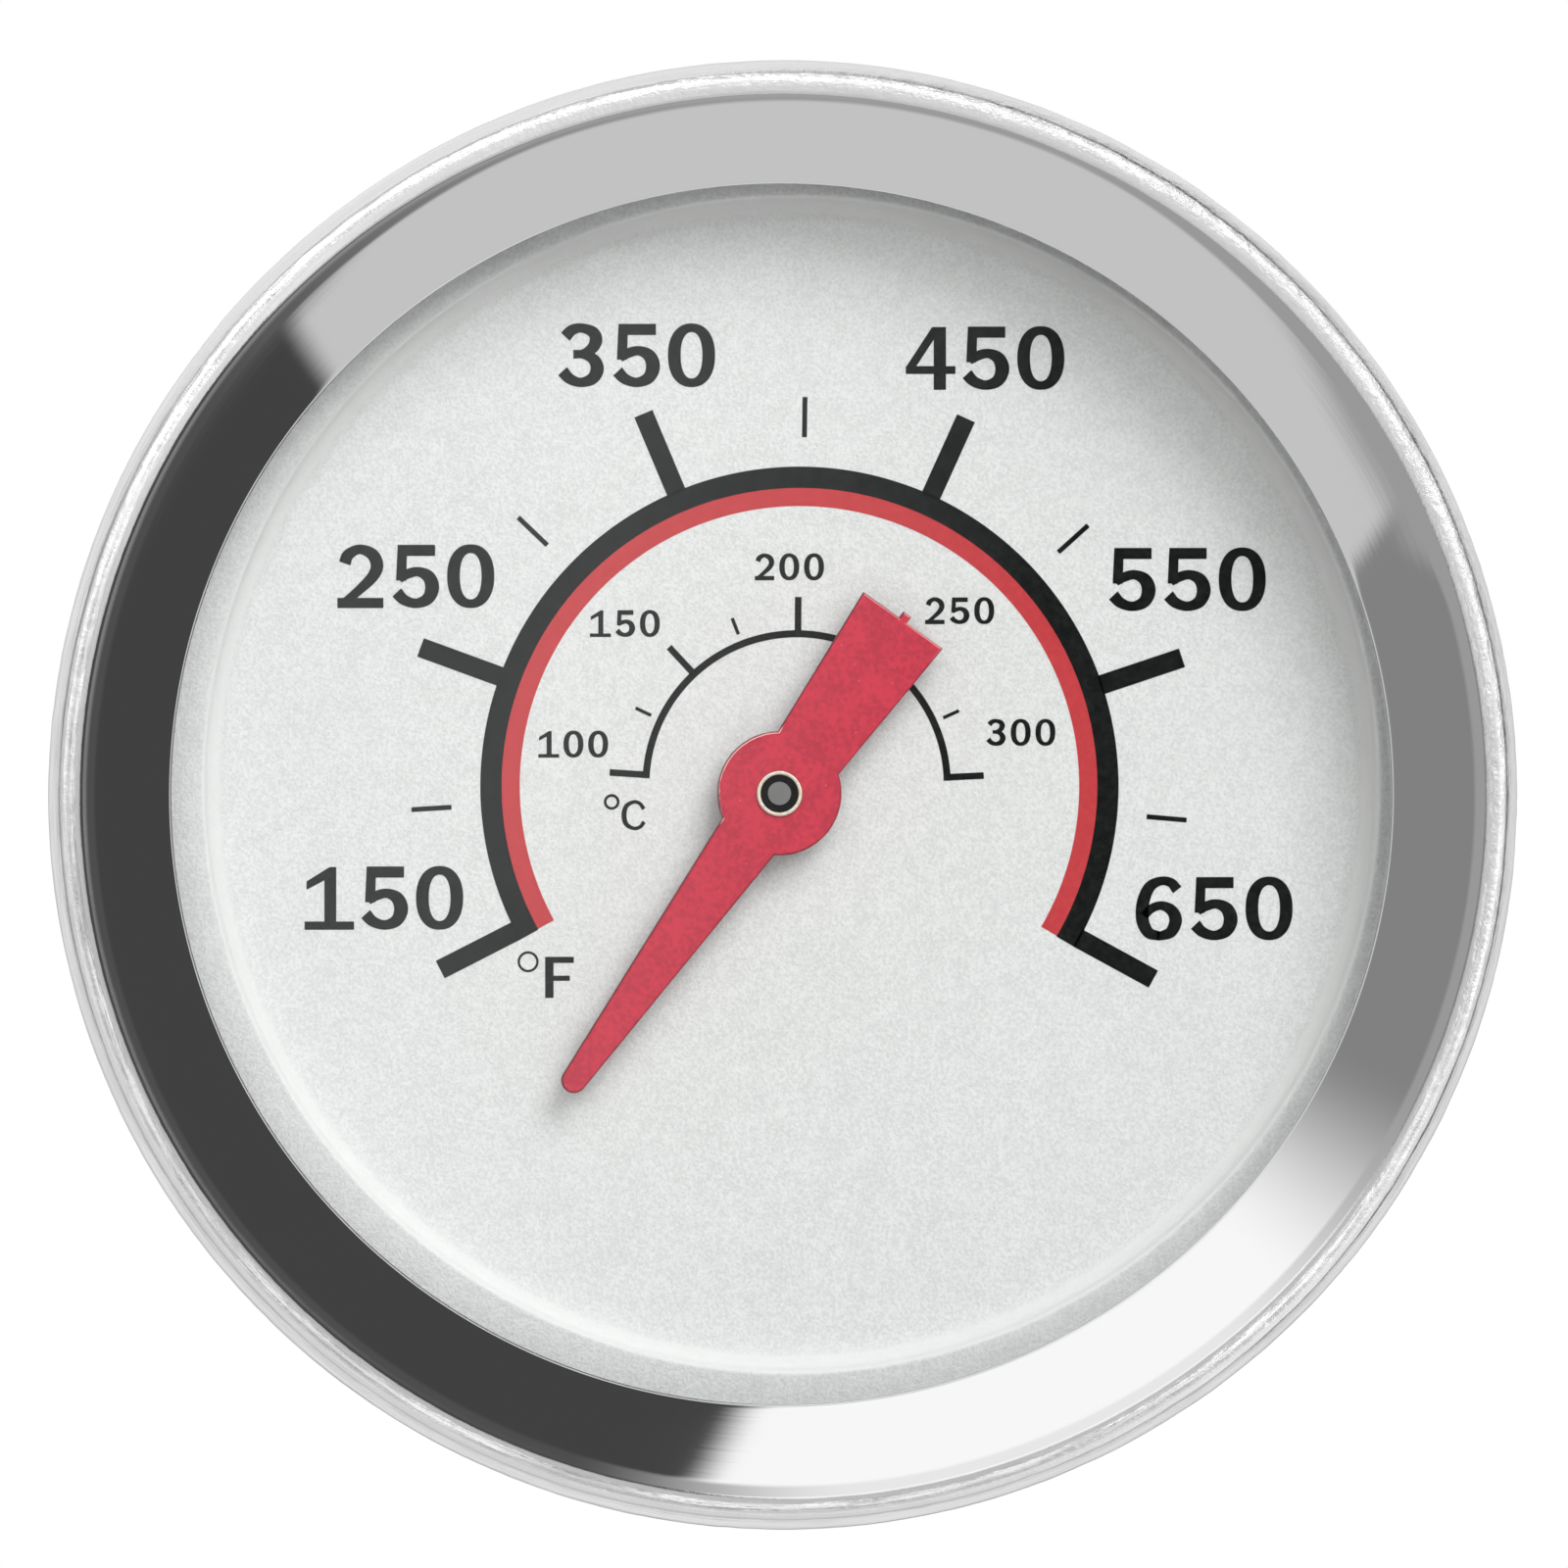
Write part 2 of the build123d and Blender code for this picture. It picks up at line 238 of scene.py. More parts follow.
# ---------------------------------------------------------------- shader helpers
def shade(tree, kind, inputs=None, out=0, **settings):
    """Adds a shader node, sets or links its inputs by name or number, returns one output."""
    made = tree.nodes.new("ShaderNode" + kind)
    for key, value in settings.items():
        setattr(made, key, value)
    for key, value in (inputs or {}).items():
        if isinstance(value, bpy.types.NodeSocket):
            tree.links.new(value, made.inputs[key])
        else:
            made.inputs[key].default_value = value
    return made.outputs[out]


def calc(tree, operation, *values):
    """A math node; clamp it with an operation written 'clamp NAME'."""
    clamp = operation.startswith("clamp ")
    name = operation.split()[-1]
    return shade(tree, "Math", dict(enumerate(values)), operation=name, use_clamp=clamp)


def blend(tree, factor, a, b):
    """Mixes two colours."""
    return shade(tree, "Mix", {0: factor, 6: a, 7: b}, out=2, data_type="RGBA")


def mix(tree, factor, a, b):
    """Mixes two numbers."""
    return shade(tree, "Mix", {0: factor, 2: a, 3: b}, data_type="FLOAT")


def smooth(tree, value, low, high, start=0.0, end=1.0):
    """A smooth step from start to end as the value goes from low to high."""
    inputs = {0: value, 1: low, 2: high, 3: start, 4: end}
    return shade(tree, "MapRange", inputs, interpolation_type="SMOOTHSTEP")


def grey(value):
    return (value, value, value, 1.0)


def millimetres(tree):
    """The piece's own coordinates in millimetres."""
    place = shade(tree, "TexCoord", out=3)
    return shade(tree, "VectorMath", {0: place, 3: 1 / MM}, operation="SCALE")


def ring_parts(tree):
    """Direction cosines round the axis, radius and station of the shaded point."""
    place = millimetres(tree)
    split = tree.nodes.new("ShaderNodeSeparateXYZ")
    tree.links.new(place, split.inputs[0])
    x, y, z = split.outputs
    radius = calc(tree, "SQRT", calc(tree, "ADD", calc(tree, "MULTIPLY", x, x), calc(tree, "MULTIPLY", z, z)))
    return calc(tree, "DIVIDE", x, radius), calc(tree, "DIVIDE", z, radius), radius, y


def grain(tree, vector, scale, detail=3.0, roughness=0.5, distortion=0.0):
    inputs = {"Vector": vector, "Scale": scale, "Detail": detail, "Roughness": roughness, "Distortion": distortion}
    return shade(tree, "TexNoise", inputs)


def turning_marks(tree, round_scale, across_scale):
    """Noise drawn out round the axis, like the marks of a lathe or of spin polishing."""
    east, north, radius, station = ring_parts(tree)
    across = calc(tree, "MULTIPLY", calc(tree, "ADD", radius, station), across_scale)
    inputs = {
        0: calc(tree, "MULTIPLY", east, round_scale),
        1: calc(tree, "MULTIPLY", north, round_scale),
        2: across,
    }
    return grain(tree, shade(tree, "CombineXYZ", inputs), 1.0, detail=4.0)


def bump(tree, height, distance, strength=1.0, normal=None):
    inputs = {"Height": height, "Distance": distance * MM, "Strength": strength}
    if normal is not None:
        inputs["Normal"] = normal
    return shade(tree, "Bump", inputs)


def material(name):
    """An empty material and its node tree with only an output node."""
    made = bpy.data.materials.new(name)
    made.use_nodes = True
    tree = made.node_tree
    tree.nodes.clear()
    tree.nodes.new("ShaderNodeOutputMaterial")
    return made, tree


def surface(tree, shader):
    tree.links.new(shader, tree.nodes["Material Output"].inputs["Surface"])


def principled(tree, **inputs):
    named = {key.replace("_", " "): value for key, value in inputs.items()}
    return shade(tree, "BsdfPrincipled", named)


# ---------------------------------------------------------------- materials
def polished_stainless():
    """Spin-polished steel: a clean mirror with faint turning marks and a duller, scuffed bead."""
    made, tree = material("polished_stainless")
    east, north, radius, station = ring_parts(tree)
    place = millimetres(tree)
    marks = turning_marks(tree, 2.5, 22.0)
    streaks = turning_marks(tree, 9.0, 7.0)
    smudge = grain(tree, place, 0.12, detail=2.0)
    on_bead = smooth(tree, radius, bezel_radius - 1.42, bezel_radius - 1.24)
    upper_right = calc(tree, "ADD", calc(tree, "MULTIPLY", east, 0.64), calc(tree, "MULTIPLY", north, 0.77))
    scuffed = smooth(tree, upper_right, 0.2, 0.95, 0.25, 1.0)
    scuffs = grain(tree, place, 2.4, detail=5.0, roughness=0.65)
    wave = bump(tree, marks, 0.0016)
    streaked = bump(tree, streaks, 0.022, calc(tree, "MULTIPLY", on_bead, 0.6), wave)
    dent = bump(tree, scuffs, 0.06, calc(tree, "MULTIPLY", on_bead, scuffed), streaked)
    dull = smooth(tree, streaks, 0.3, 0.7, 0.10, 0.26)
    rolled = smooth(tree, radius, bezel_radius - 0.55, bezel_radius - 0.38, 0.0, 0.10)
    duller = calc(tree, "ADD", calc(tree, "MULTIPLY", on_bead, dull), rolled)
    shine = calc(tree, "ADD", smooth(tree, smudge, 0.35, 0.75, 0.035, 0.08), duller)
    tone = blend(tree, calc(tree, "MULTIPLY", on_bead, streaks), grey(0.93), grey(0.86))
    # Painted shade: the crest of the bead is painted darker on its lower and left side, which dims its reflection
    # there.
    crest = calc(tree, "MULTIPLY", smooth(tree, radius, 28.82, 29.02), smooth(tree, radius, 29.12, 29.36, 1.0, 0.0))
    lower = calc(tree, "MULTIPLY", smooth(tree, north, -0.1, 0.55, 0.5, 0.0), smooth(tree, east, 0.2, 0.9, 1.0, 0.6))
    painted_shade_tone = blend(tree, calc(tree, "MULTIPLY", crest, lower), tone, grey(0.02))
    steel = principled(tree, Base_Color=painted_shade_tone, Metallic=1.0, Roughness=shine, Normal=dent, Anisotropic=0.3)
    surface(tree, steel)
    return made


def satin_stainless(name="satin_stainless", tone=0.60, rough=0.28):
    """Drawn or turned steel with fine marks round its axis."""
    made, tree = material(name)
    marks = turning_marks(tree, 3.0, 14.0)
    cloud = grain(tree, millimetres(tree), 0.25, detail=4.0)
    colour = blend(tree, smooth(tree, cloud, 0.3, 0.7), grey(tone * 0.92), grey(tone * 1.06))
    shine = calc(tree, "ADD", smooth(tree, marks, 0.3, 0.7, rough - 0.07, rough + 0.08), 0.0)
    steel = principled(
        tree, Base_Color=colour, Metallic=1.0, Roughness=shine, Normal=bump(tree, marks, 0.006), Anisotropic=0.4
    )
    surface(tree, steel)
    return made


def zinc_steel():
    """Bright zinc plate over a slightly uneven surface, dulled in patches."""
    made, tree = material("zinc_steel")
    place = millimetres(tree)
    cloud = grain(tree, place, 0.5, detail=5.0, roughness=0.6)
    fine = grain(tree, place, 5.0, detail=3.0)
    colour = blend(tree, smooth(tree, cloud, 0.35, 0.65), (0.56, 0.58, 0.60, 1), (0.70, 0.71, 0.71, 1))
    shine = smooth(tree, cloud, 0.3, 0.7, 0.22, 0.38)
    steel = principled(tree, Base_Color=colour, Metallic=1.0, Roughness=shine, Normal=bump(tree, fine, 0.008))
    surface(tree, steel)
    return made


def brass(name="brass_turned", colour=(0.80, 0.55, 0.34), rough=0.24):
    made, tree = material(name)
    marks = turning_marks(tree, 2.0, 18.0)
    cloud = grain(tree, millimetres(tree), 1.2, detail=4.0)
    dark = tuple(c * 0.82 for c in colour) + (1,)
    tint = blend(tree, smooth(tree, cloud, 0.3, 0.7), dark, colour + (1,))
    metal = principled(tree, Base_Color=tint, Metallic=1.0, Roughness=rough, Normal=bump(tree, marks, 0.004))
    surface(tree, metal)
    return made


def bimetal_strip():
    """Rolled strip with a faint straw tint where it was annealed."""
    made, tree = material("bimetal_strip")
    place = millimetres(tree)
    cloud = grain(tree, place, 0.15, detail=3.0)
    fine = grain(tree, place, 6.0, detail=2.0)
    colour = blend(tree, smooth(tree, cloud, 0.35, 0.65), (0.50, 0.48, 0.44, 1), (0.60, 0.51, 0.36, 1))
    metal = principled(tree, Base_Color=colour, Metallic=1.0, Roughness=0.33, Normal=bump(tree, fine, 0.004))
    surface(tree, metal)
    return made


def silver_paint():
    """Silver dial paint: pale, slightly metallic, with the fine grain of its flake and a painted highlight along the
    dish's bend.
    """
    made, tree = material("dial_silver_paint")
    place = millimetres(tree)
    flake = grain(tree, place, 8.0, detail=2.0, roughness=0.7)
    cloud = grain(tree, place, 1.3, detail=3.0)
    speck = calc(tree, "ADD", calc(tree, "MULTIPLY", flake, 0.82), calc(tree, "MULTIPLY", cloud, 0.18))
    colour = blend(tree, smooth(tree, speck, 0.3, 0.7), grey(0.67), grey(0.85))
    facing = tree.nodes.new("ShaderNodeSeparateXYZ")
    tree.links.new(shade(tree, "NewGeometry", out=1), facing.inputs[0])
    # Painted highlight: the dish's bend, where the sheet turns away from the front, is painted paler all round.
    bend_highlight = smooth(tree, facing.outputs[1], -0.995, -0.80, 0.0, 0.75)
    paint = principled(
        tree,
        Base_Color=blend(tree, bend_highlight, colour, grey(0.93)),
        Metallic=0.35,
        Roughness=smooth(tree, flake, 0.3, 0.7, 0.42, 0.55),
        Normal=bump(tree, flake, 0.03),
    )
    surface(tree, paint)
    return made


def ink(name, dark, light):
    """Screen-printed ink, a little uneven, with a soft sheen."""
    made, tree = material(name)
    place = millimetres(tree)
    mottle = grain(tree, place, 3.5, detail=4.0, roughness=0.65)
    colour = blend(tree, smooth(tree, mottle, 0.3, 0.75), dark + (1,), light + (1,))
    paint = principled(
        tree, Base_Color=colour, Roughness=0.6, Specular_IOR_Level=0.08, Normal=bump(tree, mottle, 0.006)
    )
    surface(tree, paint)
    return made


def red_plastic():
    """Moulded red plastic with faint flow clouds and a few pale specks, and painted highlights and painted shade on
    its edges.
    """
    made, tree = material("pointer_red")
    place = millimetres(tree)
    cloud = grain(tree, place, 0.8, detail=4.0)
    fine = grain(tree, place, 4.2, detail=3.0, roughness=0.6)
    speck = shade(tree, "TexVoronoi", {"Vector": place, "Scale": 1.6, "Randomness": 1.0})
    pale = smooth(tree, speck, 0.03, 0.07, 0.45, 0.0)
    mottle = calc(tree, "ADD", calc(tree, "MULTIPLY", cloud, 0.35), calc(tree, "MULTIPLY", fine, 0.65))
    base = blend(tree, smooth(tree, mottle, 0.40, 0.60), (0.40, 0.020, 0.045, 1), (0.53, 0.028, 0.057, 1))
    speckled = blend(tree, pale, base, (0.80, 0.30, 0.30, 1))
    facing = tree.nodes.new("ShaderNodeSeparateXYZ")
    tree.links.new(shade(tree, "NewGeometry", out=1), facing.inputs[0])
    towards = calc(tree, "MULTIPLY", facing.outputs[1], -1.0)
    leftward = calc(tree, "SUBTRACT", facing.outputs[2], facing.outputs[0])
    rightward = calc(tree, "ADD", facing.outputs[0], facing.outputs[2])
    # Painted highlight: the hub's edges facing up and left and the tail end's edges facing up and right are painted
    # pale pink.
    radius = ring_parts(tree)[2]
    on_hub = calc(tree, "MULTIPLY", smooth(tree, radius, 2.6, 2.8, 1.0, 0.0), smooth(tree, leftward, 0.2, 0.5))
    on_tail = calc(tree, "MULTIPLY", smooth(tree, radius, 8.0, 8.4), smooth(tree, rightward, 0.2, 0.5, 0.0, 0.6))
    edge = smooth(tree, towards, 0.93, 0.995, 1.0, 0.0)
    lit = calc(tree, "MULTIPLY", edge, calc(tree, "MAXIMUM", on_hub, on_tail))
    edge_highlighted = blend(tree, lit, speckled, (0.90, 0.48, 0.46, 1))
    # Painted shade: the steep edges are painted dark maroon, most of all where they face left.
    shade_leftward = smooth(tree, leftward, -0.3, 0.4, 0.45, 0.85)
    edge_shade = calc(tree, "MULTIPLY", smooth(tree, towards, 0.70, 0.94, 1.0, 0.0), shade_leftward)
    colour = blend(tree, edge_shade, edge_highlighted, (0.10, 0.004, 0.012, 1))
    plastic = principled(
        tree,
        Base_Color=colour,
        Roughness=smooth(tree, fine, 0.3, 0.7, 0.34, 0.46),
        Normal=bump(tree, fine, 0.006),
        Specular_IOR_Level=0.3,
    )
    surface(tree, plastic)
    return made


def rubber(name, colour):
    made, tree = material(name)
    place = millimetres(tree)
    fine = grain(tree, place, 4.0, detail=4.0)
    tint = blend(tree, fine, tuple(c * 0.8 for c in colour) + (1,), tuple(c * 1.2 for c in colour) + (1,))
    soft = principled(tree, Base_Color=tint, Roughness=0.62, Normal=bump(tree, fine, 0.02))
    surface(tree, soft)
    return made


def window_glass():
    """Clear flat glass that lets light and shadow through and mirrors by its Fresnel share."""
    made, tree = material("window_glass")
    dust = grain(tree, millimetres(tree), 0.6, detail=5.0, roughness=0.7)
    leaving = calc(tree, "MULTIPLY", shade(tree, "NewGeometry", out=6), shade(tree, "LightPath", out=0))
    fresnel = shade(tree, "Fresnel", {"IOR": mix(tree, leaving, 1.5, 1 / 1.5)})
    clear = shade(tree, "BsdfTransparent", {"Color": (0.985, 0.992, 0.988, 1)})
    mirror = shade(
        tree, "BsdfGlossy", {"Color": grey(1.0), "Roughness": smooth(tree, dust, 0.4, 0.8, 0.0, 0.03)}
    )
    glass = shade(tree, "MixShader", {0: fresnel, 1: clear, 2: mirror})
    shadow = shade(tree, "LightPath", out=1)
    surface(tree, shade(tree, "MixShader", {0: shadow, 1: glass, 2: clear}))
    return made


# ---------------------------------------------------------------- bezel
# How far the front of the bezel leans towards the axis, in degrees, at each radius.
FRONT_SLOPES = (
    (25.05, 29),
    (25.18, 32.5),
    (28.05, 37.5),
    (28.4, 42.5),
    (28.5, 43.3),
    (28.62, 43.3),
    (28.74, 22),
    (29.2, 0),
    (29.5, -16),
    (29.57, -46),
    (29.86, -58),
)
LIP_RADIUS = 24.95


def front_slope(radius):
    """Slope between the stated ones."""
    for (r0, s0), (r1, s1) in zip(FRONT_SLOPES, FRONT_SLOPES[1:]):
        if radius <= r1:
            return s0 + (s1 - s0) * (radius - r0) / (r1 - r0)
    return FRONT_SLOPES[-1][1]


def bezel_outline():
    """Window lip, cone, crease, bead, side wall and rear crimp, as one closed outline."""
    first, last = FRONT_SLOPES[0][0], FRONT_SLOPES[-1][0]
    lip_front = lens_low.y - 0.6
    steps = 120
    step = (last - first) / steps
    front = [(first, 0.0)]
    for i in range(steps):
        rise = step * math.tan(math.radians(front_slope(first + (i + 0.5) * step)))
        front.append((front[-1][0] + step, front[-1][1] + rise))
    stretch = (lip_front - bezel_low.y) / max(rise for radius, rise in front)
    front = [(radius, lip_front - rise * stretch) for radius, rise in front]
    roll_start = math.radians(FRONT_SLOPES[-1][1]) * stretch
    roll = (bezel_radius - last) / (1 + math.sin(roll_start))
    centre = (bezel_radius - roll, front[-1][1] + roll * math.cos(roll_start))
    outer = arc(centre, roll, math.degrees(-math.pi / 2 - roll_start), 40, 30)
    wall = bezel_radius - 0.7
    inside = wall - SHEET
    back = bezel_high.y
    rest = rounded(
        (wall, centre[1] + 0.6, 0.12),
        (wall, back, 0.75),
        (26.0, back, 0.2),
        (26.0, back - SHEET, 0.2),
        (inside, back - SHEET, 0.3),
        (inside, lens_low.y - 0.1, 0.3),
        (LIP_RADIUS + 0.6, lens_low.y, 0.1),
        (LIP_RADIUS, lens_low.y, 0.1),
        (LIP_RADIUS, lip_front + 0.01, 0.1),
    )
    return front + outer[1:] + rest


def bezel_nudge(radius, station, angle):
    """The bead was rolled by a wheel, so its line wanders by a few hundredths."""
    on_bead = max(0.0, min(1.0, (radius - 28.7) / 0.35)) * (station < -13.0)
    here = Vector((math.sin(angle), math.cos(angle), 0))
    wander = 0.035 * noise.noise(here * 9) + 0.014 * noise.noise(here * 60 + Vector((0, 0, radius * 3)))
    return radius - abs(wander) * on_bead, station + 0.6 * abs(wander) * on_bead, angle


lathe(
    "bezel_ring_polished",
    bezel_outline(),
    CASE,
    polished_stainless(),
    "bezel_ring",
    segments=720,
    nudge=bezel_nudge,
)

# ---------------------------------------------------------------- window, gasket, dial
lathe(
    "window",
    rounded(
        (0, lens_low.y, 0),
        (lens_high.z, lens_low.y, 0.2),
        (lens_high.z, lens_high.y, 0.2),
        (0, lens_high.y, 0),
    ),
    CASE,
    window_glass(),
    "glass_lens",
)

gasket_low, gasket_high = extent("lens_gasket")
lathe(
    "lens_gasket_ring",
    rounded(
        (25.6, gasket_low.y, 0.25),
        (gasket_high.z, gasket_low.y, 0.25),
        (gasket_high.z, gasket_high.y, 0.25),
        (25.6, gasket_high.y, 0.25),
    ),
    CASE,
    rubber("silicone_black", (0.035, 0.035, 0.035)),
    "lens_gasket",
)


PAN_OFFSET = (0.50, 0.36)


def dial_outline():
    flange = dial_low.y
    return rounded(
        (1.6, dial_floor, 0.08),
        (23.88, dial_floor, 1.0),
        (24.08, flange, 0.22),
        (dial_high.z, flange, 0.1),
        (dial_high.z, flange + SHEET, 0.1),
        (24.15, flange + SHEET, 0.3),
        (24.12, dial_high.y, 0.6),
        (1.6, dial_high.y, 0.08),
        steps=12,
    )


def pan_nudge(radius, station, angle):
    """The pan was pressed a little off the plate's centre; its hole and rim are true."""
    share = min(max((radius - 6) / 12, 0), 1) * min(max((26.5 - radius) / 1.5, 0), 1)
    across, up = radius * math.sin(angle) + PAN_OFFSET[0] * share, radius * math.cos(angle) + PAN_OFFSET[1] * share
    return math.hypot(across, up), station, math.atan2(across, up)


lathe(
    "dial_pan",
    dial_outline(),
    CASE,
    silver_paint(),
    "dial_plate",
    segments=512,
    nudge=pan_nudge,
)

# ---------------------------------------------------------------- printed scale
# Print sizes are as drawn on the dial's floor. Angles are anticlockwise from +X in front view.
INK_THICKNESS = 0.02
PRINT_CENTRE = (0.880, 0.285)
PRINT_TURN = 0.0
PRINT_SCALE = 1.0067

F_LOW, F_HIGH = 150, 650
F_START = 207.05
F_PER_DEGREE = (207.05 + 28.65) / (F_HIGH - F_LOW)
C_START = 176.3
C_PER_DEGREE = (176.3 - 2.7) / 200
C_CENTRE = (-0.12, 0.06)


def ribbon(points, steps=8):
    """Outline of a pen stroke through (x, y, width) points, with square ends."""
    knots = [Vector(p) for p in points]
    knots = [2 * knots[0] - knots[1]] + knots + [2 * knots[-1] - knots[-2]]
    line = []
    for a, b, c, d in zip(knots, knots[1:], knots[2:], knots[3:]):
        for i in range(steps):
            t = i / steps
            line.append(
                0.5 * (2 * b + (c - a) * t + (2 * a - 5 * b + 4 * c - d) * t**2 + (3 * b - 3 * c + d - a) * t**3)
            )
    line.append(knots[-2])
    left = []
    right = []
    for i, p in enumerate(line):
        ahead = line[min(i + 1, len(line) - 1)] - line[max(i - 1, 0)]
        across = Vector((-ahead.y, ahead.x)).normalized() * p.z / 2
        left.append(Vector(p[:2]) + across)
        right.append(Vector(p[:2]) - across)
    return left, right


def ribbon_prism(left, right, back, front, closed=False):
    """A thin solid between two edges in the XZ plane, and between two stations."""
    count = len(left)
    vertices = []
    for station in (front, back):
        vertices += [(p[0], station, p[1]) for p in left] + [(p[0], station, p[1]) for p in right]
    faces = []
    spans = range(count if closed else count - 1)
    deep = 2 * count
    for i in spans:
        j = (i + 1) % count
        faces.append((i, j, count + j, count + i))
        faces.append((deep + i, deep + count + i, deep + count + j, deep + j))
        faces.append((i, deep + i, deep + j, j))
        faces.append((count + i, count + j, deep + count + j, deep + count + i))
    if not closed:
        for i in (0, count - 1):
            faces.append((i, count + i, deep + count + i, deep + i))
    return vertices, faces


def polygon_prism(outline, back, front):
    count = len(outline)
    vertices = [(x, station, z) for station in (front, back) for x, z in outline]
    faces = [tuple(range(count)), tuple(range(2 * count - 1, count - 1, -1))]
    faces += [(i, (i + 1) % count, count + (i + 1) % count, count + i) for i in range(count)]
    return vertices, faces


def oval(rx, ry, thick_x, thick_y, squareness=2.25, steps=64):
    """Outer and inner edges of a printed 0, standing on its baseline."""
    edges = []
    for a, b in ((rx, ry), (rx - thick_x, ry - thick_y)):
        edge = []
        for i in range(steps):
            angle = 2 * math.pi * i / steps
            c, s = math.cos(angle), math.sin(angle)
            size = (abs(c) ** squareness + abs(s) ** squareness) ** (-1 / squareness)
            edge.append((rx + a * size * c, ry + b * size * s))
        edges.append(edge)
    return edges


# Every glyph stands on its baseline and is 1 high. Strokes are (x, y, width) points.
STROKES = {
    "2": [
        [(0.115, 0.700, 0.19), (0.170, 0.835, 0.18), (0.350, 0.922, 0.15), (0.550, 0.840, 0.19),
         (0.622, 0.665, 0.20), (0.550, 0.490, 0.18), (0.350, 0.290, 0.15), (0.100, 0.075, 0.13)],
        [(0.00, 0.080, 0.16), (0.721, 0.080, 0.16)],
    ],
    "3": [
        [(0.110, 0.790, 0.19), (0.215, 0.895, 0.17), (0.367, 0.927, 0.146), (0.538, 0.865, 0.18),
         (0.591, 0.745, 0.20), (0.535, 0.615, 0.18), (0.390, 0.530, 0.13), (0.235, 0.520, 0.13)],
        [(0.235, 0.512, 0.13), (0.390, 0.510, 0.13), (0.547, 0.440, 0.18), (0.610, 0.290, 0.21),
         (0.535, 0.135, 0.19), (0.351, 0.074, 0.148), (0.180, 0.131, 0.17), (0.065, 0.250, 0.19)],
    ],
    "5": [
        [(0.093, 0.905, 0.175), (0.678, 0.905, 0.175)],
        [(0.166, 0.990, 0.15), (0.145, 0.430, 0.16)],
        [(0.120, 0.440, 0.10), (0.250, 0.535, 0.15), (0.415, 0.570, 0.15), (0.575, 0.490, 0.20),
         (0.632, 0.320, 0.22), (0.560, 0.146, 0.19), (0.375, 0.075, 0.15), (0.190, 0.131, 0.17),
         (0.075, 0.246, 0.19)],
    ],
    "6": [
        [(0.650, 0.790, 0.17), (0.550, 0.905, 0.15), (0.385, 0.930, 0.14), (0.210, 0.830, 0.18),
         (0.110, 0.580, 0.20), (0.106, 0.310, 0.20), (0.200, 0.120, 0.18), (0.367, 0.069, 0.14)],
        [(0.330, 0.069, 0.14), (0.390, 0.069, 0.14), (0.550, 0.131, 0.18), (0.625, 0.311, 0.20),
         (0.560, 0.470, 0.18), (0.400, 0.545, 0.14), (0.240, 0.495, 0.14), (0.130, 0.380, 0.13)],
    ],
    "C": [
        [(0.735, 0.700, 0.13), (0.605, 0.880, 0.12), (0.405, 0.935, 0.12), (0.160, 0.795, 0.15),
         (0.085, 0.500, 0.165), (0.160, 0.205, 0.15), (0.405, 0.065, 0.12), (0.615, 0.115, 0.12),
         (0.745, 0.280, 0.13)],
    ],
}
OUTLINES = {
    "1": [[(0, 0), (0.777, 0), (0.777, 0.13), (0.498, 0.13), (0.498, 0.985), (0.395, 0.985),
           (0.031, 0.760), (0.031, 0.625), (0.311, 0.775), (0.311, 0.13), (0, 0.13)]],
    "4": [
        [(0.438, 0), (0.631, 0), (0.631, 0.986), (0.438, 0.986)],
        [(0, 0.249), (0.780, 0.249), (0.780, 0.373), (0, 0.373)],
        [(0, 0.300), (0.120, 0.300), (0.500, 0.880), (0.500, 0.986), (0.413, 0.986), (0, 0.355)],
    ],
    "F": [[(0, 0), (0.204, 0), (0.204, 0.417), (0.600, 0.417), (0.600, 0.543), (0.204, 0.543),
           (0.204, 0.852), (0.696, 0.852), (0.696, 1), (0, 1)]],
}
ADVANCE = {"0": 0.74, "1": 0.777, "2": 0.721, "3": 0.718, "4": 0.780, "5": 0.742, "6": 0.725, "C": 0.774, "F": 0.696}


def union(pieces):
    """One solid from overlapping (vertices, faces) solids."""
    objects = []
    for vertices, faces in pieces:
        made = bpy.data.objects.new("stroke", mesh_of("stroke", vertices, faces))
        bpy.context.scene.collection.objects.link(made)
        objects.append(made)
    base = objects[0]
    for other in objects[1:]:
        cut = base.modifiers.new("join", "BOOLEAN")
        cut.operation = "UNION"
        cut.solver = "EXACT"
        cut.object = other
    done = base.evaluated_get(bpy.context.evaluated_depsgraph_get()).to_mesh()
    vertices = [tuple(v.co / MM) for v in done.vertices]
    faces = [tuple(p.vertices) for p in done.polygons]
    for made in objects:
        bpy.data.objects.remove(made)
    return vertices, faces


def glyph(letter):
    """A unit-high glyph as (vertices, faces), one unit of height being one millimetre."""
    if letter == "0":
        outer, inner = oval(0.37, 0.5, 0.20, 0.137)
        return ribbon_prism(outer, inner, 0.5, -0.5, closed=True)
    pieces = [ribbon_prism(*ribbon(stroke), 0.5, -0.5) for stroke in STROKES.get(letter, [])]
    pieces += [polygon_prism(outline, 0.5, -0.5) for outline in OUTLINES.get(letter, [])]
    return union(pieces) if len(pieces) > 1 else pieces[0]


GLYPHS = {letter: glyph(letter) for letter in ADVANCE}


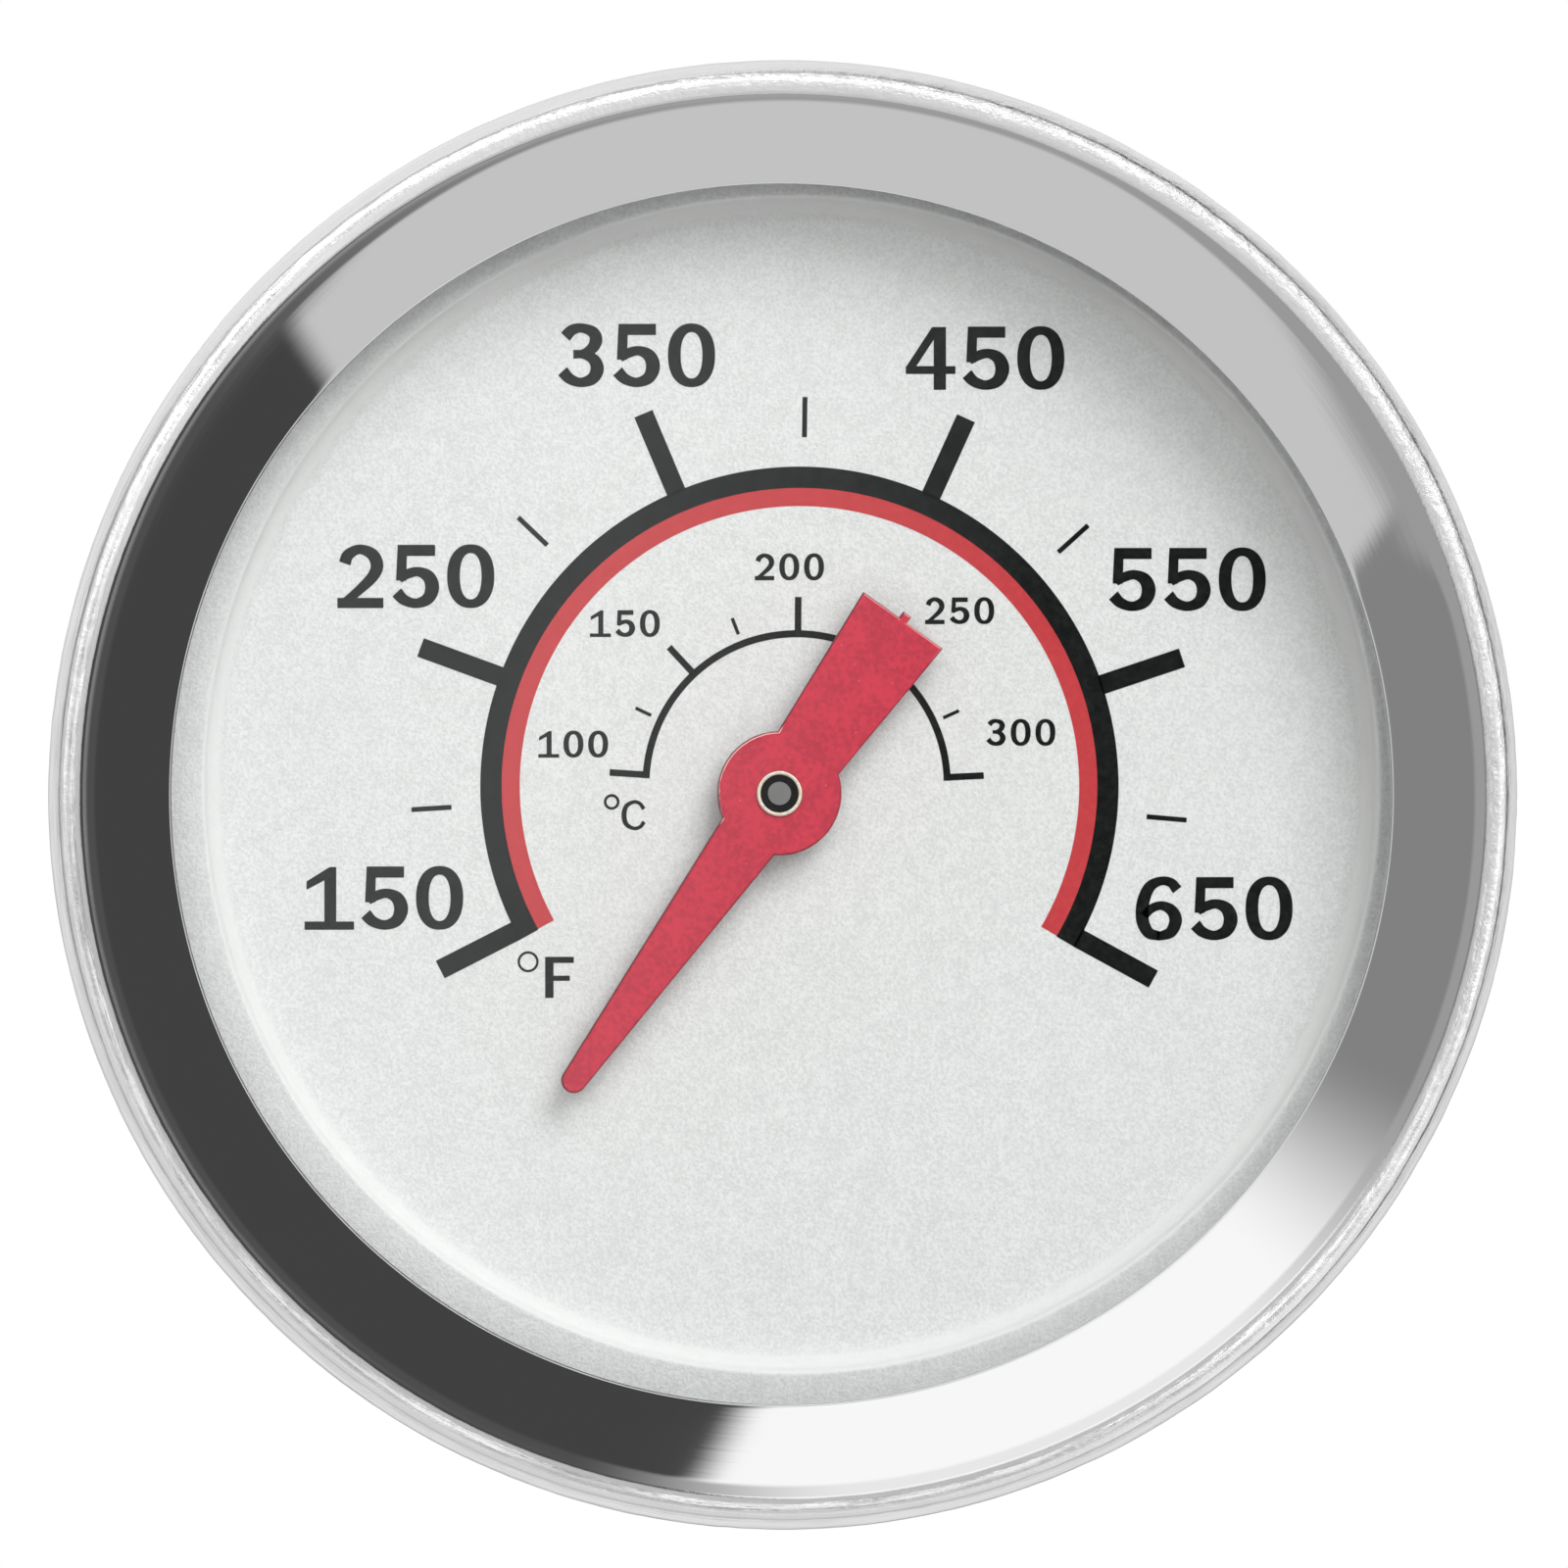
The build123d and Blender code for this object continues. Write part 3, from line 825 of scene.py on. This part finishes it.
class Print:
    """Collects thin ink solids on the dial's floor and makes one piece of them."""

    def __init__(self):
        self.vertices = []
        self.faces = []

    def add(self, solid, centre=(0, 0), scale=1.0, depth=1.0):
        """Adds a solid given in print coordinates; its station 0.5 is the floor."""
        vertices, faces = solid
        first = len(self.vertices)
        turn = Matrix.Rotation(math.radians(PRINT_TURN), 2)
        for x, y, z in vertices:
            flat = turn @ Vector((centre[0] + x * scale, centre[1] + z * scale)) * PRINT_SCALE
            station = dial_floor + INK_THICKNESS * (0.5 * y / 0.5 * depth - 0.3)
            self.vertices.append((PRINT_CENTRE[0] + flat.x, station, PRINT_CENTRE[1] + flat.y))
        self.faces += [tuple(first + i for i in face) for face in faces]

    def word(self, text, centre, height, pitch):
        """Glyphs on a fixed pitch, the middle of the word at the centre."""
        for i, letter in enumerate(text):
            middle = centre[0] + (i - (len(text) - 1) / 2) * pitch
            left = middle - ADVANCE[letter] * height / 2
            self.add(GLYPHS[letter], (left, centre[1] - height / 2), height)

    def band(self, inner, outer, start, end, centre=(0, 0)):
        """Part of a ring between two angles."""
        steps = max(8, int(abs(end - start)))
        edges = []
        for radius in (outer, inner):
            angles = [math.radians(start + (end - start) * i / steps) for i in range(steps + 1)]
            edges.append([(radius * math.cos(a), radius * math.sin(a)) for a in angles])
        self.add(ribbon_prism(*edges, 0.5, -0.5), centre)

    def circle(self, centre, outer, width):
        edges = []
        for radius in (outer, outer - width):
            angles = [2 * math.pi * i / 48 for i in range(48)]
            edges.append([(radius * math.cos(a), radius * math.sin(a)) for a in angles])
        self.add(ribbon_prism(*edges, 0.5, -0.5, closed=True), centre)

    def tick(self, angle, inner, outer, width, centre=(0, 0)):
        along = Vector((math.cos(math.radians(angle)), math.sin(math.radians(angle))))
        side = Vector((-along.y, along.x)) * width / 2
        corners = [along * inner - side, along * outer - side, along * outer + side, along * inner + side]
        self.add(polygon_prism([tuple(c) for c in corners], 0.5, -0.5), centre)

    def piece(self, name, colour, slot):
        mesh = mesh_of(name, self.vertices, self.faces)
        return finish_mesh(name, mesh, CASE, colour, sharp=30)


def fahrenheit_angle(value):
    return F_START - (value - F_LOW) * F_PER_DEGREE


def celsius_angle(value):
    return C_START - (value - 100) * C_PER_DEGREE


def print_black():
    sheet = Print()
    start, end = fahrenheit_angle(F_LOW), fahrenheit_angle(F_HIGH)
    sheet.band(12.16, 13.03, start + 1.75, end - 1.75)
    for value in range(F_LOW, F_HIGH + 1, 100):
        sheet.tick(fahrenheit_angle(value), 12.95, 16.47, 0.80)
    for value in range(F_LOW + 50, F_HIGH, 100):
        sheet.tick(fahrenheit_angle(value), 14.23, 15.87, 0.20)
    main = {
        "150": (-16.94, -4.56),
        "250": (-15.67, 8.56),
        "350": (-6.66, 17.57),
        "450": (7.60, 17.46),
        "550": (15.83, 8.43),
        "650": (16.93, -5.01),
    }
    for text, centre in main.items():
        sheet.word(text, centre, 2.60, 2.25)
    sheet.band(6.005, 6.295, celsius_angle(100) + 1.3, celsius_angle(300) - 1.3, C_CENTRE)
    for value in range(100, 301, 50):
        sheet.tick(celsius_angle(value), 6.25, 7.65, 0.27, C_CENTRE)
    for value in range(125, 300, 50):
        sheet.tick(celsius_angle(value), 6.57, 7.28, 0.14, C_CENTRE)
    small = {
        "100": (-9.23, 1.71),
        "150": (-7.12, 6.63),
        "200": (-0.42, 8.94),
        "250": (6.53, 7.15),
        "300": (9.03, 2.18),
    }
    for text, centre in small.items():
        sheet.word(text, centre, 1.10, 1.01)
    sheet.circle((-7.67, -0.65), 0.32, 0.11)
    sheet.word("C", (-6.79, -1.19), 1.24, 1)
    sheet.circle((-11.08, -7.17), 0.43, 0.10)
    sheet.word("F", (-9.80, -7.81), 1.68, 1)
    sheet.piece("scale_print_black", ink("dial_ink_black", (0.004, 0.005, 0.005), (0.013, 0.015, 0.014)), "dial_ink_black")


def print_red():
    sheet = Print()
    start, end = fahrenheit_angle(F_LOW), fahrenheit_angle(F_HIGH)
    sheet.band(11.42, 12.16, start + 1.6, end - 1.6)
    sheet.piece("scale_print_red", ink("dial_ink_red", (0.44, 0.043, 0.050), (0.50, 0.053, 0.060)), "dial_ink_red")


print_black()
print_red()

# ---------------------------------------------------------------- pointer
refined("pointer", 0.13, POINTER, red_plastic())

steel = satin_stainless("shaft_steel", 0.27, 0.42)
yellow = brass()
zinc = zinc_steel()
satin = satin_stainless()


def eyelet_brass():
    """Bright staked rim; the recess inside it is painted near black as painted shade."""
    made, tree = material("eyelet_brass")
    east, north, radius, station = ring_parts(tree)
    cloud = grain(tree, millimetres(tree), 3.0, detail=4.0)
    # Painted shade: the floor of the recess inside the rim is painted near black and matt.
    sunk = smooth(tree, station, eyelet_low.y + 0.05, eyelet_low.y + 0.12)
    inside = calc(tree, "MULTIPLY", sunk, smooth(tree, radius, 0.78, 0.84, 1.0, 0.0))
    bright = blend(tree, smooth(tree, cloud, 0.35, 0.65), (0.98, 0.78, 0.62, 1), (1.0, 0.92, 0.82, 1))
    colour = blend(tree, inside, bright, (0.003, 0.003, 0.003, 1))
    shine = smooth(tree, inside, 0.0, 1.0, 0.22, 0.7)
    metal = principled(
        tree,
        Base_Color=colour,
        Metallic=smooth(tree, inside, 0.0, 1.0, 1.0, 0.0),
        Roughness=shine,
        Specular_IOR_Level=0.02,
        Normal=bump(tree, cloud, 0.01),
    )
    surface(tree, metal)
    return made


lathe(
    "eyelet_staked",
    rounded(
        (0.76, eyelet_low.y, 0.05),
        (0.95, eyelet_low.y, 0.05),
        (0.95, pointer_high.y, 0),
        (eyelet_high.x, pointer_high.y, 0.1),
        (eyelet_high.x, pointer_high.y + 0.6, 0.1),
        (1.1, pointer_high.y + 0.6, 0),
        (1.1, eyelet_high.y, 0.1),
        (0.475, eyelet_high.y, 0),
        (0.475, eyelet_low.y + 0.35, 0),
        (0.76, eyelet_low.y + 0.35, 0.06),
    ),
    POINTER,
    eyelet_brass(),
    "pointer_eyelet",
    segments=96,
)
# ---------------------------------------------------------------- case, stud and probe
lathe(
    "case_cup_drawn",
    rounded(
        (case_high.z, case_low.y, 0.1),
        (24.3, case_low.y, 1.25),
        (24.3, case_high.y - SHEET, 0.75),
        (5.0, case_high.y - SHEET, 0.08),
        (5.0, case_high.y, 0.08),
        (24.8, case_high.y, 1.25),
        (24.8, case_low.y + SHEET, 0.75),
        (case_high.z, case_low.y + SHEET, 0.1),
    ),
    CASE,
    satin,
    "case_cup",
)

THREAD_CREST = 4.95
THREAD_PITCH = 1.5
THREAD_DEPTH = 0.92
PILOT_END = 4.0


def stud_outline():
    """The stud's section, with closely spaced points wherever there is thread."""
    bore = 2.75
    corners = rounded(
        (bore, stud_low.y, 0.2),
        (THREAD_CREST, stud_low.y, 0.5),
        (THREAD_CREST, case_high.y, 0),
        (stud_high.z, case_high.y, 0.15),
        (stud_high.z, seal_low.y, 0.15),
        (THREAD_CREST, seal_low.y, 0),
        (THREAD_CREST, 0, 0),
        (5.2, 0, 0),
        (5.2, PILOT_END, 0.2),
        (THREAD_CREST, PILOT_END, 0),
        (THREAD_CREST, stud_high.y - 0.8, 0.1),
        (THREAD_CREST - 0.8, stud_high.y, 0.1),
        (bore, stud_high.y, 0.1),
    )
    fine = []
    for a, b in zip(corners, corners[1:] + corners[:1]):
        fine.append(a)
        threaded = min(a[0], b[0]) > THREAD_CREST - 0.01 and max(a[0], b[0]) < THREAD_CREST + 0.01
        if threaded and abs(b[1] - a[1]) > 2:
            count = int(abs(b[1] - a[1]) / THREAD_PITCH * 12)
            fine += [(a[0], a[1] + (b[1] - a[1]) * i / count) for i in range(1, count)]
    return fine


def thread_nudge(radius, station, angle):
    """Cuts a right-hand groove with flat crests, which runs out beside the pilot and shoulder."""
    inside = stud_low.y + 0.1 < station < case_high.y - 0.2
    outside = PILOT_END + 0.1 < station
    if radius < 3.5 or radius > THREAD_CREST + 0.01 or not (inside or outside):
        return radius, station, angle
    turn = (station / THREAD_PITCH - angle / (2 * math.pi)) % 1
    valley = min(1.0, max(0.0, (1 - abs(2 * turn - 1)) * 1.3 - 0.12))
    run_out = min(1.0, max(0.0, station - PILOT_END) / 1.2) if outside else min(1.0, (case_high.y - station) / 1.2)
    root = THREAD_CREST - THREAD_DEPTH * valley * run_out
    return min(radius, root), station, angle


lathe(
    "mounting_stud_threaded",
    stud_outline(),
    CASE,
    satin_stainless("stud_steel", 0.56, 0.30),
    "mounting_stud",
    segments=120,
    nudge=thread_nudge,
    sharp=28,
)

lathe(
    "door_seal_ring",
    rounded(
        (seal_high.z, seal_low.y, 0.3),
        (seal_high.z, seal_high.y, 0.3),
        (5.25, seal_high.y, 0.15),
        (5.25, seal_low.y, 0.15),
    ),
    CASE,
    rubber("silicone_red", (0.40, 0.075, 0.045)),
    "door_seal",
)

TUBE_WALL = 0.4
swage = 2.75
lathe(
    "probe_tube_drawn",
    rounded(
        (swage - TUBE_WALL, tube_low.y, 0.05),
        (swage, tube_low.y, 0.05),
        (swage, stud_high.y - 0.2, 0),
        (swage, stud_high.y, 0),
        (tube_high.z, stud_high.y + 0.02, 0.15),
        (tube_high.z, tube_high.y, 0),
        (tube_high.z - TUBE_WALL, tube_high.y, 0),
        (tube_high.z - TUBE_WALL, stud_high.y + TUBE_WALL, 0.1),
        (swage - TUBE_WALL, stud_high.y + TUBE_WALL, 0.1),
    ),
    CASE,
    satin,
    "probe_tube",
    segments=128,
)
lathe(
    "probe_tip_welded",
    rounded(
        (0, tip_high.y, 0),
        (tip_high.z, tip_high.y, 1.7),
        (tip_high.z, tube_high.y, 0),
        (tip_high.z - TUBE_WALL, tube_high.y, 0),
        (tip_high.z - TUBE_WALL, tube_high.y - 3.0, 0.1),
        (1.88, tube_high.y - 3.0, 0),
        (1.88, tip_low.y, 0.2),
        (0, tip_low.y, 0),
        steps=10,
    ),
    CASE,
    satin,
    "probe_tip",
    segments=128,
)


refined("stud_lock_washer", 0.08, CASE, zinc)
refined("stud_lock_nut", 0.2, CASE, zinc)
refined("flat_washer", 0.12, WASHERS, zinc)
refined("spring_washer", 0.12, WASHERS, zinc)
cast("wing_nut", 0.16, 6, NUT, zinc)


def wound_coil():
    """The bimetal helix, which in the real gauge twists between its fixed end and the collar on the shaft; here it
    stays still and rides on no body.
    """
    mesh = frame["nodes"]["bimetal_coil"].data.copy()
    mesh.materials.clear()
    coil = finish_mesh("bimetal_coil_wound", mesh, CASE, bimetal_strip(), "bimetal_coil")
    coil.parent = None
    del coil["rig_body"]
    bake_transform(coil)


wound_coil()

plain = {
    "coil_collar": yellow,
    "pointer_shaft": steel,
    "front_bearing": yellow,
    "rear_bearing": yellow,
}
for node, look in plain.items():
    mesh = frame["nodes"][node].data
    mesh.materials.clear()
    mesh.materials.append(look)


# ---------------------------------------------------------------- stage, light and camera
def world_light():
    """A studio seen in the bezel: white behind the camera, cards and a black flag round it.

    Directions are split into the angle off the dial's axis and the clock angle round it."""
    world = bpy.data.worlds.new("studio")
    bpy.context.scene.world = world
    world.use_nodes = True
    tree = world.node_tree
    tree.nodes.clear()
    split = tree.nodes.new("ShaderNodeSeparateXYZ")
    tree.links.new(shade(tree, "TexCoord", out=0), split.inputs[0])
    x, y, z = split.outputs
    off_axis = calc(tree, "MULTIPLY", calc(tree, "ARCCOSINE", calc(tree, "MULTIPLY", y, -1.0)), 180 / math.pi)
    clock = calc(tree, "MULTIPLY", calc(tree, "ARCTAN2", x, z), 180 / math.pi)
    lean = calc(tree, "SUBTRACT", off_axis, 73.0)

    def leaning(amount):
        return calc(tree, "ADD", clock, calc(tree, "MULTIPLY", lean, amount))

    light, middle, white, dark = 0.58, 0.235, 1.0, 0.056
    cards = mix(tree, smooth(tree, leaning(0.4), -118.2, -115.4), light, middle)
    cards = mix(tree, smooth(tree, clock, -66, -44), cards, white)
    cards = mix(tree, smooth(tree, leaning(-0.29), 5.6, 10.2), cards, dark)
    cards = mix(tree, smooth(tree, leaning(-0.15), 131, 134.4), cards, light)
    beyond = mix(tree, smooth(tree, clock, -66, -36), 0.34, 0.86)
    beyond = mix(tree, smooth(tree, clock, -5, 20), beyond, 0.08)
    beyond = mix(tree, smooth(tree, clock, 120, 178), beyond, 0.34)
    corner = calc(tree, "MULTIPLY", smooth(tree, clock, 100, 128), smooth(tree, clock, 132, 146, 2.2, 0.0))
    other_corner = calc(tree, "MULTIPLY", smooth(tree, clock, -150, -121), smooth(tree, clock, -114, -106, 7.4, 0.0))
    top = calc(tree, "SUBTRACT", 180.0, calc(tree, "ABSOLUTE", clock))
    reach = calc(tree, "ADD", off_axis, calc(tree, "ADD", corner, other_corner))
    reach = calc(tree, "SUBTRACT", reach, smooth(tree, top, 20, 40, 5.5, 0.0))
    around = mix(tree, smooth(tree, reach, 77, 82), cards, beyond)
    around = mix(tree, smooth(tree, off_axis, 87, 96), around, 0.86)
    behind = smooth(tree, z, -0.75, 0.75, 0.22, 0.80)
    for side in (-1, 1):
        towards = (side * 0.60, 0.42, 0.68)
        along = [calc(tree, "MULTIPLY", part, share) for part, share in zip((x, y, z), towards)]
        facing = calc(tree, "ADD", along[0], calc(tree, "ADD", along[1], along[2]))
        behind = mix(tree, smooth(tree, facing, 0.80, 0.94), behind, 2.0)
    around = mix(tree, smooth(tree, off_axis, 134, 154), around, behind)

    sunk = calc(tree, "MULTIPLY", calc(tree, "ADD", z, 0.014), 0.35)
    upper_left = calc(tree, "SUBTRACT", sunk, calc(tree, "SUBTRACT", x, 0.031))
    over_lens = shade(tree, "MapRange", {0: upper_left, 1: -0.0071, 2: 0.0103, 3: 0.015, 4: 0.62})
    upward = calc(tree, "ADD", calc(tree, "MULTIPLY", x, 0.35), z)
    softbox = smooth(tree, upward, -0.12, 0.12, 0.80, 2.3)
    low_right = calc(tree, "MULTIPLY", smooth(tree, clock, 118, 134), smooth(tree, clock, 146, 162, 1.0, 0.0))
    low_side = smooth(tree, calc(tree, "ABSOLUTE", clock), 85, 115)
    ceiling = mix(tree, low_right, mix(tree, low_side, 0.54, 0.70), 0.95)
    softbox = mix(tree, smooth(tree, off_axis, 15, 25), softbox, ceiling)
    front = mix(tree, smooth(tree, off_axis, 4.5, 9), over_lens, softbox)
    studio = mix(tree, smooth(tree, off_axis, 52, 60), front, around)
    seen = mix(tree, shade(tree, "LightPath", out=0), studio, 1.0)
    output = tree.nodes.new("ShaderNodeOutputWorld")
    tree.links.new(shade(tree, "Background", {"Color": seen, "Strength": 1.0}), output.inputs["Surface"])


def soft_light(name, clock, off_axis, distance, size, power):
    """A square soft light aimed at the dial from a clock angle and an angle off the axis."""
    lamp = bpy.data.lights.new(name, "AREA")
    lamp.size = size
    lamp.energy = power
    made = bpy.data.objects.new(name, lamp)
    bpy.context.scene.collection.objects.link(made)
    clock, off_axis = math.radians(clock), math.radians(off_axis)
    spot = Vector((math.sin(off_axis) * math.sin(clock), -math.cos(off_axis), math.sin(off_axis) * math.cos(clock)))
    made.location = spot * distance
    made.rotation_euler = (-spot).to_track_quat("-Z", "Y").to_euler()
    made.visible_glossy = False
    made.visible_camera = False


def floor():
    """A plain pale floor below the object."""
    mesh = bpy.data.meshes.new("floor")
    reach = 1.2
    level = -0.15
    corners = [(-reach, -reach, level), (reach, -reach, level), (reach, reach, level), (-reach, reach, level)]
    mesh.from_pydata(corners, [], [(0, 1, 2, 3)])
    look, tree = material("floor_paper")
    paper = grain(tree, millimetres(tree), 0.05, detail=3.0)
    tint = blend(tree, paper, grey(0.86), grey(0.90))
    paint = principled(tree, Base_Color=tint, Roughness=0.9)
    surface(tree, paint)
    mesh.materials.append(look)
    made = bpy.data.objects.new("floor", mesh)
    bpy.context.scene.collection.objects.link(made)
    made.visible_glossy = False


def camera():
    """Straight-on view of the dial through a long lens, standing a touch left of the axis."""
    lens = 600
    sensor = 36
    frame_width = 63.95
    frame_centre = Vector((0.02, 0.46))
    aside = Vector((-33, 15))
    data = bpy.data.cameras.new("camera")
    data.lens = lens
    data.sensor_width = sensor
    data.clip_end = 20
    made = bpy.data.objects.new("camera", data)
    bpy.context.scene.collection.objects.link(made)
    distance = frame_width * lens / sensor
    target = Vector((frame_centre.x, bezel_low.y + 0.775, frame_centre.y))
    place = Vector((aside.x, target.y - distance, aside.y))
    made.location = place * MM
    made.rotation_euler = (target - place).to_track_quat("-Z", "Y").to_euler()
    bpy.context.scene.camera = made


world_light()
soft_light("window_light", 30, 43, 0.5, 0.28, 2.52)
soft_light("lamp_light", -35, 32, 0.5, 0.2, 0.36)
floor()
camera()
bpy.context.scene.view_settings.view_transform = "Standard"
